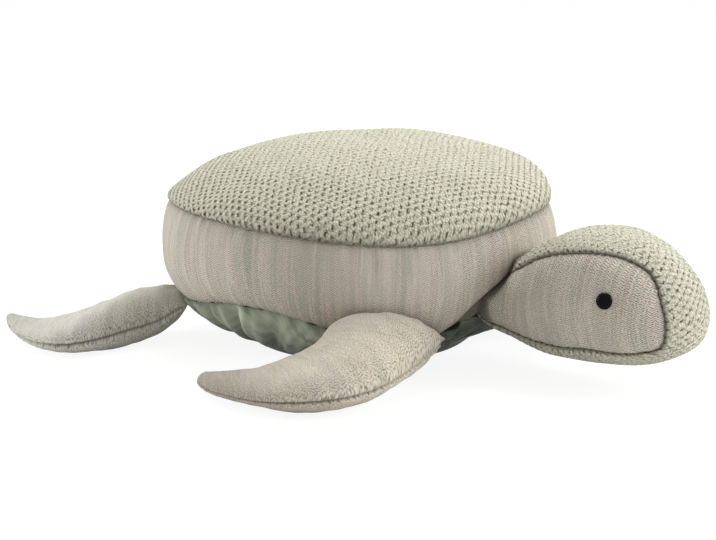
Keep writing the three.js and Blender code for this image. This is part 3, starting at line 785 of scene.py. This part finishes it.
def placeFlipper(limb, side):
    cut = flipperCloth

    def place(u, v):
        inner = np.clip(1 - v / cut["insideShare"], 0, 1)  # 1 at the cut end inside the body
        out = np.clip((v - cut["insideShare"]) / (1 - cut["insideShare"]), 0, 1)
        s = out - np.sin(2 * math.pi * out) * cut["evenRows"]

        def table(key, divisor=1000):
            values = np.array(limb[key], float) / divisor
            return smoothTable(s, np.linspace(0, 1, len(values)), values)

        lead, trail = table("leading"), table("trailing")
        # The stuffing thins to nothing where the root is caught in the seam, and rounds off at the tip
        root = np.sqrt(np.maximum(1 - (1 - np.clip(s / limb["pinchShare"], 0, 1)) ** 2, 0))
        cap = np.sqrt(np.maximum(1 - s ** limb["tip"], 0))
        full = np.maximum(root, cut["rootStuffing"]) * cap
        turn = u * 2 * math.pi
        upper = turn <= math.pi
        w = -np.cos(turn)
        power = np.where(upper, cut["fullness"], limb["underFullness"])
        profile = np.maximum(1 - np.abs(w) ** power, 0) ** (1 / power)
        centre = (lead + trail) / 2
        flat = centre + (trail - lead) * (w * cap / 2)[:, None]
        flat = centre + (flat - centre) * (1 - cut["insideNarrow"] * inner)[:, None]
        flat[:, 0] -= cut["inside"] * inner
        centre[:, 0] -= cut["inside"] * inner
        height = np.where(upper, table("rise"), -table("drop")) * profile * full
        z = cut["hinge"] + table("middle")
        points = np.column_stack([flat, z + height])
        width = np.linalg.norm(trail - lead, axis=1) * cap / 2
        toEdge = np.hypot((1 - np.abs(w)) * width, height)
        groove = np.exp(-(toEdge / cut["seamWidth"]) ** 2)
        way = np.column_stack([centre, z]) - points
        way /= np.maximum(np.linalg.norm(way, axis=1), 1e-6)[:, None]
        seed = limb["seed"]
        near = np.exp(-toEdge / cut["puckerWidth"])
        run = s * cut["length"]
        wrinkles = near * ripple(run, toEdge, cut["pucker"], seed)
        wrinkles += (1 - near) * ripple(flat[:, 0], flat[:, 1], cut["soft"], seed + 1)
        wrinkles += (1 - near) * ripple(flat[:, 0], flat[:, 1], cut["fine"], seed + 2)
        # Gathers that run out of the root's seam
        gathers = ripple(flat[:, 1], s, cut["gather"], seed + 3)
        gathers = gathers * np.exp(-s / cut["gatherReach"]) * easeUp(s, 0, cut["gatherFrom"])
        stuffed = easeUp(width * full, *cut["tipWidths"])
        deep = np.minimum(cut["seamDepth"], width * cut["seamShare"]) * groove
        deep = deep * easeUp(s, 0, cut["seamFrom"])
        points = points + way * (deep - (wrinkles + gathers) * stuffed)[:, None]
        points[:, 2] = np.maximum(points[:, 2], cut["floorGap"])
        angle = math.radians(limb["angle"])
        outward = limb["hingeRadius"] + points[:, 0]
        x = outward * math.cos(angle) - points[:, 1] * math.sin(angle)
        y = side * (outward * math.sin(angle) + points[:, 1] * math.cos(angle))
        # The cloth's stripes lie across the flipper
        cloth = np.stack([run + np.where(upper, 0, cut["panelGap"]),
                          w * np.maximum(width, cut["leastWidth"]) * cut["round"]], axis=1)
        # Painted shade on the tip, which turns away from the light
        tipShade = limb["tipShade"] * easeUp(s, *cut["tipShadeEnds"])
        tipShade = tipShade * (cut["tipShadeAll"] + cut["tipShadeEdge"] * np.exp(-toEdge / cut["tipShadeWidth"]))
        thread = table("seamTone", 1) * np.exp(-(toEdge / cut["threadWidth"]) ** 2)
        return np.column_stack([x, y, points[:, 2]]), cloth, np.maximum(thread, tipShade)
    return place


def makeFlipper(end, side, sideName, material):
    limb = flippers[end]
    name = f"{end}{sideName.capitalize()}Flipper"
    place = placeFlipper(limb, side)
    piece = layCloth(name, flipperCloth["columns"], flipperCloth["rows"], place, True)
    closeHoles(piece)
    turn = math.radians(limb["angle"]) * side
    way = Vector((math.cos(turn), math.sin(turn), 0))
    centre = way * (limb["hingeRadius"] + flipperCloth["middleOut"])
    centre += Vector((0, 0, flipperCloth["middleUp"]))
    faceOut(piece, centre)
    limbName = f"{end}_{sideName}_flipper"
    parts = [f"{limbName}_{part}" for part in ("upper_panel", "lower_panel", "filling", "root_hem")]
    finishPiece(piece, material, parts)
    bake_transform(piece)
    print("stage:", name, "stuffed")


# Head: two leaf-shaped cheeks set in a knitted gusset. Points lie in directions from the head's middle:
# phi turns in the upright plane through head and tail, and psi leans out of it towards a cheek.

head = {
    "middle": (0.300, 0, 0.086),
    "halfWidth": 0.0655,
    "fullness": 2.3,
    # Outline in the upright plane: x and z from the middle, in millimetres
    "outline": [(-150, -14), (-148, -4), (-135, 7), (-107, 20), (-73, 42), (-29, 59.5), (13, 60),
                (44, 48.5), (66.5, 30), (81.5, 8), (87, -13), (81, -33), (65, -46), (36, -54),
                (-4, -60), (-48, -60.5), (-82, -55), (-120, -43), (-138, -35), (-147, -25)],
    # Seam of a cheek, seen from the side
    "seam": [(-136, -12), (-130, -2), (-122, 5), (-112, 9.5), (-97, 13.5), (-86, 19.5), (-63, 33),
             (-29, 44.5), (2, 48.8), (33, 45.5), (56, 33), (70, 11), (76, -14), (70, -32), (52, -38.5),
             (19, -42), (-24, -44.5), (-58, -43.5), (-95, -38), (-122, -31), (-133, -22)],
    # Where the cheek folds in to the neck, high up and low down, and how soon it gets there
    "foldTop": 0.213, "foldLow": 0.206, "foldLength": 0.017, "foldHeight": 0.060, "foldRise": 0.022,
    "flare": 0.18, "flareHeights": (0.040, 0.090),
    "neckStart": 0.196, "neckEnd": 0.264, "neckHeight": 0.079,
    "walkSamples": 2400,
}
gusset = {
    "rows": 370, "columns": 80, "thickness": 0.003, "proud": 0.0016, "tuck": 0.007, "seed": 41,
    "roundOff": (0.0018, 0.0020), "seamWidth": 0.0010,
    "soft": (0.0010, 0.07, 1, None), "softFrom": 0.02,
    "leanSteps": 41,  # points across the strip on which its length is measured
    "hollowFadeHeights": (0.112, 0.148),  # heights between which the hollows' depth and painted shade fade out
}
cheek = {
    "rows": 54, "columns": 210, "thickness": 0.002, "sunk": 0.0004, "tuck": 0.006, "seed": 51,
    "roundOff": (0.0018, 0.003), "seamWidth": 0.0011,
    "soft": (0.0008, 0.05, 1, None), "softFrom": 0.02,
    "pucker": (0.0006, 0.010, 0.2, 0.2), "puckerWidth": 0.010, "puckerRadius": 0.07,
    # Painted shade in the crease at the band, by distance from the body's middle
    "creaseShade": 0.95, "creaseShadeEnds": (0.1985, 0.2065),
    "clothShift": 0.2,  # keeps its stripes unlike those of the band
}


def lineRadius(line, phi):
    # How far one of the head's closed lines is from its middle
    points = np.array(head[line], float) / 1000
    angle = np.arctan2(points[:, 1], points[:, 0])
    order = np.argsort(angle)
    return smoothTable(phi, angle[order], np.hypot(points[:, 0], points[:, 1])[order], 2 * math.pi)


def ringAngles(line, share):
    # Walks round a closed line by its length, from the neck over the crown and back under the chin
    phi = np.linspace(math.pi, -math.pi, head["walkSamples"])
    radius = lineRadius(line, phi)
    x, z = radius * np.cos(phi), radius * np.sin(phi)
    length = np.concatenate([[0], np.cumsum(np.hypot(np.diff(x), np.diff(z)))])
    return np.interp(share * length[-1], length, phi), share * length[-1]


def sideAt(flat, phi):
    # How far the cheek stands from the upright plane
    share = np.clip(flat / lineRadius("outline", phi), 0, 0.999)
    return head["halfWidth"] * (1 - share ** head["fullness"]) ** (1 / head["fullness"])


def headReach(phi, psi):
    # From the head's middle to the surface, in the direction phi in the upright plane and psi out of it
    n = head["fullness"]
    inPlane = np.abs(np.cos(psi) / lineRadius("outline", phi)) ** n
    return (inPlane + np.abs(np.sin(psi) / head["halfWidth"]) ** n) ** (-1 / n)


def headPlace(phi, psi, reach):
    flat = reach * np.cos(psi)
    x = head["middle"][0] + flat * np.cos(phi)
    z = head["middle"][2] + flat * np.sin(phi)
    side = np.abs(reach * np.sin(psi))
    # Behind a fold, the neck narrows to its seam with the band
    up = np.clip((z - head["foldHeight"]) / head["foldRise"], 0, 1)
    line = head["foldLow"] + (head["foldTop"] - head["foldLow"]) * up
    turned = np.clip((line - x) / head["foldLength"], 0, 1)
    side = side + (np.minimum(side, neckWidth(z)) - side) * turned
    side = side * (1 + head["flare"] * turned * (1 - easeUp(z, *head["flareHeights"])))
    return np.stack([x, np.sign(psi) * side, z], axis=1)


def placeGusset(u, v):
    phi, travel = ringAngles("outline", v)
    seam = lineRadius("seam", phi)
    lean = np.arctan2(sideAt(seam, phi), seam)
    along, strip, psi = np.zeros_like(u), np.zeros_like(u), np.zeros_like(u)
    steps = np.linspace(-1, 1, gusset["leanSteps"])
    # Each row is laid out by its true length across the strip
    for row in np.unique(v):
        at = np.flatnonzero(v == row)
        turns, angle = steps * lean[at[0]], np.full(len(steps), phi[at[0]])
        line = headPlace(angle, turns, headReach(angle, turns))
        length = np.concatenate([[0], np.cumsum(np.linalg.norm(np.diff(line, axis=0), axis=1))])
        half = length[-1] / 2
        along[at] = (2 * u[at] - 1) * (half + gusset["tuck"])
        strip[at] = half
        psi[at] = np.interp(along[at], length - half, turns)
    past = np.maximum(np.abs(along) - strip, 0)
    edge = np.maximum(strip - np.abs(along), 0)
    soft = ripple(along, travel, gusset["soft"], gusset["seed"]) * easeUp(edge, 0, gusset["softFrom"])
    lift = gusset["proud"] + soft + stitchRelief(travel, along, past)
    lift -= rolledEdge(gusset, edge) + past
    points = headPlace(phi, psi, headReach(phi, psi) + lift)
    return points, np.stack([travel, along], axis=1), np.exp(-edge / gusset["seamWidth"])


def placeCheek(side):
    def place(u, v):
        phi = ringAngles("seam", u)[0]
        seam = lineRadius("seam", phi)
        along = v * (seam + cheek["tuck"])
        flat = np.minimum(along, seam)
        past = np.maximum(along - seam, 0)
        edge = seam - flat
        y = sideAt(flat, phi)
        psi = np.arctan2(y, np.maximum(flat, 1e-9))
        x, z = flat * np.cos(phi), flat * np.sin(phi)
        lift = -cheek["sunk"] - rolledEdge(cheek, edge) - past
        lift += ripple(x, z, cheek["soft"], cheek["seed"]) * easeUp(edge, 0, cheek["softFrom"])
        pucker = ripple(phi * cheek["puckerRadius"], edge, cheek["pucker"], cheek["seed"] + 1)
        lift += pucker * np.exp(-edge / cheek["puckerWidth"])
        points = headPlace(phi, psi, np.hypot(y, flat) + lift)
        away = np.hypot(points[:, 0], points[:, 1])
        shade = cheek["creaseShade"] * (1 - easeUp(away, *cheek["creaseShadeEnds"]))
        points[:, 1] *= side
        cloth = np.stack([x + cheek["clothShift"], z], axis=1)
        return points, cloth, np.maximum(np.exp(-edge / cheek["seamWidth"]), shade)
    return place


def makeHead(knit, jersey):
    strip = layCloth("headGusset", gusset["columns"], gusset["rows"], placeGusset, True, head["middle"])
    thicken(strip, gusset["thickness"])
    finishPiece(strip, knit, ["head_gusset", "head_filling", "neck_root_hem"])
    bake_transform(strip)
    for side, name in sides:
        piece = layCloth(f"{name}Cheek", cheek["columns"], cheek["rows"], placeCheek(side), True,
                         head["middle"])
        thicken(piece, cheek["thickness"])
        finishPiece(piece, jersey, [f"head_{name}_panel"])
        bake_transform(piece)
    print("stage: head stuffed")


eye = {
    "x": 0.0262, "z": 0.0102, "radius": 0.0076, "rise": 0.0042, "sink": 0.0006,
    "columns": 48, "rows": 22,
    "probe": 0.001,  # how far apart the points are that give the slope of its seat
    # Half its profile, from the top of the dome over the rolled rim to the nearly flat back: share of
    # the way, share of the radius, shares of the rise for the dome, heights for the rim and the back
    "along": [0, 0.2, 0.4, 0.6, 0.75, 0.85, 0.92, 1],
    "out": [0, 0.45, 0.77, 0.96, 1, 0.96, 0.6, 0],
    "dome": [1, 0.93, 0.72, 0.38],
    "back": [0.0004, -0.0006, -0.0014, -0.0016],
}


def makeEye(side, name, material):
    def cheekPoint(x, z):
        y = sideAt(math.hypot(x, z), np.array([math.atan2(z, x)]))[0] - cheek["sunk"]
        return Vector((head["middle"][0] + x, side * y, head["middle"][2] + z))

    seat = cheekPoint(eye["x"], eye["z"])
    ahead = cheekPoint(eye["x"] + eye["probe"], eye["z"]) - seat
    above = cheekPoint(eye["x"], eye["z"] + eye["probe"]) - seat
    normal = ahead.cross(above).normalized()
    if normal.y * side < 0:
        normal.negate()
    ahead.normalize()
    above = normal.cross(ahead)

    def place(u, v):
        turn = u * 2 * math.pi
        radius = smoothTable(v, eye["along"], [eye["radius"] * share for share in eye["out"]])
        heights = [eye["rise"] * share for share in eye["dome"]] + eye["back"]
        height = smoothTable(v, eye["along"], heights)
        x, y = radius * np.cos(turn), radius * np.sin(turn)
        points = np.outer(x, ahead) + np.outer(y, above) + np.outer(height - eye["sink"], normal)
        return points + np.array(seat), np.stack([x, y], axis=1), 0 * u

    behind = tuple(seat - normal * eye["probe"])
    piece = layCloth(f"{name}Eye", eye["columns"], eye["rows"], place, True, behind)
    finishPiece(piece, material, [f"{name}_eye"])
    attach(piece, "head")
    print("stage:", name, "eye set")


# Stage: a pale floor, and soft studio light

studio = {
    "floor": "#f1f1ef", "floorSize": 14, "floorDrop": 0.0005,
    "glow": 1.12, "glowShare": 0.80,  # what the camera sees of the floor is nearly all glow
    "world": 0.55, "lampAim": 0.1,
    "lamps": [
        # name, place, size, watts
        ("topSoftbox", (-0.3, 0.7, 1.9), 1.3, 33),
        ("leftSoftbox", (-1.7, -0.9, 0.5), 0.9, 20.5),
        ("rightSoftbox", (1.6, 0.6, 0.85), 0.9, 18.5),
    ],
}


def seenShare(tree):
    # 1 for what the camera sees directly, in a reflection or through glass
    rays = node(tree, "ShaderNodeLightPath").outputs
    seen = calc(tree, "ADD", rays["Is Camera Ray"], rays["Is Glossy Ray"])
    return node(tree, "ShaderNodeMath", {0: seen, 1: rays["Is Transmission Ray"]},
                operation="ADD", use_clamp=True).outputs[0]


def addStage():
    bpy.ops.mesh.primitive_plane_add(size=studio["floorSize"], location=(0, 0, -studio["floorDrop"]))
    floor = bpy.context.object
    floor.name = "studioFloor"
    material = bpy.data.materials.new("paleStudioFloor")
    material.use_nodes = True
    tree = material.node_tree
    tree.nodes.remove(tree.nodes["Principled BSDF"])
    matt = node(tree, "ShaderNodeBsdfDiffuse", {"Color": linear(studio["floor"])}).outputs[0]
    inputs = {"Color": (1, 1, 1, 1), "Strength": studio["glow"]}
    glow = node(tree, "ShaderNodeEmission", inputs).outputs[0]
    share = calc(tree, "MULTIPLY", seenShare(tree), studio["glowShare"])
    mixed = node(tree, "ShaderNodeMixShader", {0: share, 1: matt, 2: glow}).outputs[0]
    tree.links.new(mixed, tree.nodes["Material Output"].inputs["Surface"])
    floor.data.materials.append(material)

    world = bpy.data.worlds.new("softStudio")
    bpy.context.scene.world = world
    world.use_nodes = True
    tree = world.node_tree
    sky = tree.nodes["Background"]
    sky.inputs["Color"].default_value = (1, 1, 1, 1)
    strength = mapRange(tree, seenShare(tree), 0.0, 1.0, studio["world"], 1.0)
    tree.links.new(strength, sky.inputs["Strength"])

    for name, place, size, power in studio["lamps"]:
        bpy.ops.object.light_add(type="AREA", location=place)
        lamp = bpy.context.object
        lamp.name = name
        lamp.data.shape = "DISK"
        lamp.data.size = size
        lamp.data.energy = power
        aim = Vector(place) - Vector((0, 0, studio["lampAim"]))
        lamp.rotation_euler = aim.to_track_quat("Z", "Y").to_euler()


addCamera()
jersey = jerseyCloth("stripedCottonJersey")
makeShell(mossKnit("woolMossKnitShell", shell["hollowFadeHeights"]))
makeBand(jersey)
makeBase(sageSateen())
for end, dye in (("front", "warmHeatheredJersey"), ("rear", "coolHeatheredJersey")):
    flipperJersey = jerseyCloth(dye)
    for side, sideName in sides:
        makeFlipper(end, side, sideName, flipperJersey)
makeHead(mossKnit("woolMossKnitHead", gusset["hollowFadeHeights"]), jersey)
acrylic = blackAcrylic()
for side, sideName in sides:
    makeEye(side, sideName, acrylic)
addStage()
print("stage: studio lit")

scene = bpy.context.scene
scene.view_settings.view_transform = "Standard"
bpy.ops.object.select_all(action="DESELECT")
